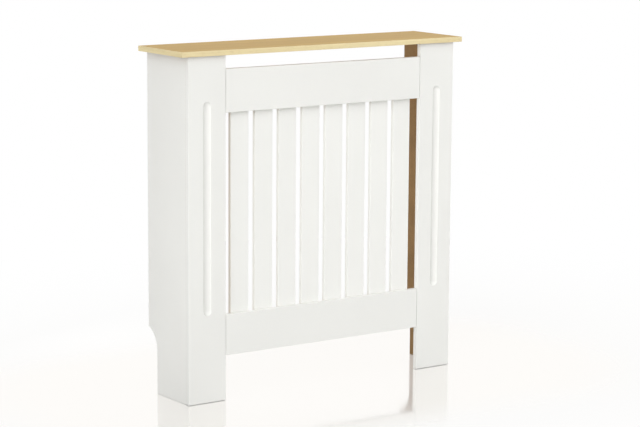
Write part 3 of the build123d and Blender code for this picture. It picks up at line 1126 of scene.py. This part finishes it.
def towards(turn, rise):
    """The unit vector turned to the right of the front and raised above the horizon, in radians."""
    return np.array([math.sin(turn) * math.cos(rise), -math.cos(turn) * math.cos(rise), math.sin(rise)])


def set_world(context):
    """Broad soft lights that fade into each other, and plain white to the camera."""
    stage = context.scene.cover_stage
    world = bpy.data.worlds.new("Studio")
    context.scene.world = world
    world.use_nodes = True
    world.node_tree.nodes.clear()
    wire = Wiring(world.node_tree)
    direction = wire.add("ShaderNodeTexCoord").outputs["Generated"]
    level = stage.sky_level
    for name, *degrees in BROAD_LIGHTS:
        turn, rise, outer, inner = map(math.radians, degrees)
        near = wire.measure("DOT_PRODUCT", direction, tuple(towards(turn, rise)))
        glow = wire.ramp(near, math.cos(outer), math.cos(inner), 0.0, getattr(stage, name))
        level = wire.math("ADD", glow, level)
    path = wire.add("ShaderNodeLightPath").outputs
    mirrored_white = wire.math("MAXIMUM", path["Is Glossy Ray"], path["Is Transmission Ray"])
    seen = wire.math("MAXIMUM", path["Is Camera Ray"], mirrored_white)
    light, white = (
        wire.first("ShaderNodeBackground", {"Color": WHITE, "Strength": strength})
        for strength in (level, 1.0)
    )
    wire.add("ShaderNodeOutputWorld", {"Surface": wire.blend(seen, light, white)})


def set_floor(context):
    """A wide round floor: rings of points whose radius grows by the same share each time."""
    rings, around, inner, outer = 40, 64, 0.2, 60.0
    radius = np.geomspace(inner, outer, rings)[:, None]
    angle = np.arange(around)[None] * 2 * math.pi / around
    points = np.stack([radius * np.cos(angle), radius * np.sin(angle), np.zeros((rings, around))], -1)
    index, faces = ring_faces(rings, around)
    floor = new_object("studio_floor", points.reshape(-1, 3), [faces[:, [0, 3, 2, 1]], index[:1]])
    floor.data.materials.append(floor_material(context.scene.cover_colours.floor))


def floor_material(tone):
    """A pale polished floor, bright white to the camera, and clear from below.

    Near the cover it mirrors the legs and keeps a soft shadow.  There its colour is a painted shade,
    darker close to the cover, and its glow is darkened where parts meet it, a painted contact shadow.
    Further off it fades to white.
    """
    material, wire, surface, point = new_material("Pale polished floor")
    output = next(node for node in wire.tree.nodes if node.type == "OUTPUT_MATERIAL")
    camera = wire.add("ShaderNodeLightPath").outputs["Is Camera Ray"]
    footprint = tuple(np.array(CAD_BOX[1]) * (1, 1, 0))
    beyond = wire.vector("SUBTRACT", wire.vector("ABSOLUTE", point), footprint)
    away = wire.measure("LENGTH", wire.vector("MAXIMUM", beyond))
    cloud = wire.cloud(point, 3.0, 0.99, 1.01, 2.0)
    # painted shade: the floor's colour is darker close to the cover, so it throws back less light onto the
    # lower legs
    painted_shade_near_cover = wire.times(cloud, wire.ramp(away, 0.0, 0.9, 0.74, 1.0))
    surface.inputs["Roughness"].default_value = 0.5
    wire.feed(surface.inputs["Base Color"], wire.tint(tone, painted_shade_near_cover))
    # painted contact shadow: the floor's glow is dimmed where occlusion finds parts close above it
    close = wire.add("ShaderNodeAmbientOcclusion", {"Distance": 12 * MM}, samples=8).outputs["AO"]
    contact_shadow = wire.ramp(close, 0.0, 1.0, 0.75, 1.0)
    warm = wire.mix(wire.ramp(away, 0.1, 1.2), (1.0, 0.995, 0.985), WHITE)
    glow = wire.first("ShaderNodeEmission", {"Color": warm, "Strength": contact_shadow})
    share = wire.times(wire.ramp(away, 0.3, 1.6, 0.90, 1.0), camera)
    matt = wire.blend(share, surface.outputs[0], glow)
    polish = wire.cloud(point, 6.0, 0.07, 0.11)
    mirror = wire.first("ShaderNodeBsdfAnisotropic", {"Color": (1.0, 0.972, 0.935), "Roughness": polish})
    shine = wire.times(wire.ramp(away, 0.24, 0.5, 0.56, 0.0), camera)
    lit = wire.blend(shine, matt, mirror)
    below = wire.times(wire.add("ShaderNodeNewGeometry").outputs["Backfacing"], camera)
    whole = wire.blend(below, lit, wire.first("ShaderNodeBsdfTransparent"))
    wire.feed(output.inputs["Surface"], whole)
    return material


def set_lights(context):
    """A tall strip close to the left side, and a tall lamp behind that lights the open inside.

    Neither shows itself.  A lamp's power gives a white surface that faces it the lamp's level.
    """
    for name, level, aim, direction, distance, width, height in LAMPS:
        lamp = bpy.data.lights.new(name, "AREA")
        lamp.shape = "RECTANGLE"
        lamp.size, lamp.size_y = width, height
        lamp.energy = getattr(context.scene.cover_stage, level) * math.pi**2 * distance**2
        light = bpy.data.objects.new(name, lamp)
        light.visible_camera = light.visible_glossy = False
        context.scene.collection.objects.link(light)
        back = towards(*map(math.radians, direction))
        light.matrix_world = frame_matrix(back, np.array(aim) + back * distance)


def frame_matrix(backwards, place, roll=0.0):
    """The matrix of something that looks against backwards, upright apart from its roll."""
    back = np.array(backwards) / np.linalg.norm(backwards)
    side = np.cross((0, 0, 1), back)
    side = side / np.linalg.norm(side)
    rise = np.cross(back, side)
    turned = math.cos(roll) * side + math.sin(roll) * rise
    upright = math.cos(roll) * rise - math.sin(roll) * side
    columns = np.column_stack([turned, upright, back, place])
    return Matrix([*columns.tolist(), (0, 0, 0, 1)])


def set_camera(context):
    """The camera, where the photograph was taken from."""
    stage = context.scene.cover_stage
    data = bpy.data.cameras.new("Camera")
    data.sensor_width = 36.0
    data.sensor_fit = "HORIZONTAL"
    data.lens = stage.lens
    data.clip_start, data.clip_end = 0.1, 200.0
    camera = bpy.data.objects.new("Camera", data)
    context.scene.collection.objects.link(camera)
    back = towards(-stage.camera_turn, stage.camera_tilt)
    camera.matrix_world = frame_matrix(back, CAMERA_PLACE, stage.camera_roll)
    context.scene.camera = camera
    context.scene.view_settings.view_transform = "Standard"


# ---------------------------------------------------------------- panel and registration


STEPS = (
    COVER_OT_top,
    COVER_OT_side_panels,
    COVER_OT_stiles,
    COVER_OT_rails,
    COVER_OT_slats,
    COVER_OT_battens,
    COVER_OT_dowels,
    COVER_OT_hardware,
    COVER_OT_blocks,
    COVER_OT_screws,
    COVER_OT_staples,
    COVER_OT_stage,
)
SETTINGS = {"cover_sizes": CoverSizes, "cover_colours": CoverColours, "cover_stage": CoverStage}


class COVER_PT_panel(Panel):
    """Lists the steps and the settings"""

    bl_idname = "COVER_PT_panel"
    bl_label = "Radiator cover"
    bl_space_type = "VIEW_3D"
    bl_region_type = "UI"
    bl_category = "Radiator cover"

    def draw(self, context):
        for name, group in SETTINGS.items():
            settings = getattr(context.scene, name)
            box = self.layout.box()
            for field in group.__annotations__:
                box.prop(settings, field)
        for step in STEPS:
            self.layout.operator(step.bl_idname)


def register():
    """Registers the settings, the steps and the panel."""
    for group in (*SETTINGS.values(), *STEPS, COVER_PT_panel):
        bpy.utils.register_class(group)
    for name, group in SETTINGS.items():
        setattr(bpy.types.Scene, name, PointerProperty(type=group))


def unregister():
    """Takes away everything that register added."""
    for name in SETTINGS:
        delattr(bpy.types.Scene, name)
    for group in (COVER_PT_panel, *reversed(STEPS), *SETTINGS.values()):
        bpy.utils.unregister_class(group)


def main():
    """Builds every piece in order."""
    register()
    for step in STEPS:
        family, name = step.bl_idname.split(".")
        getattr(getattr(bpy.ops, family), name)()


if __name__ == "__main__":
    main()
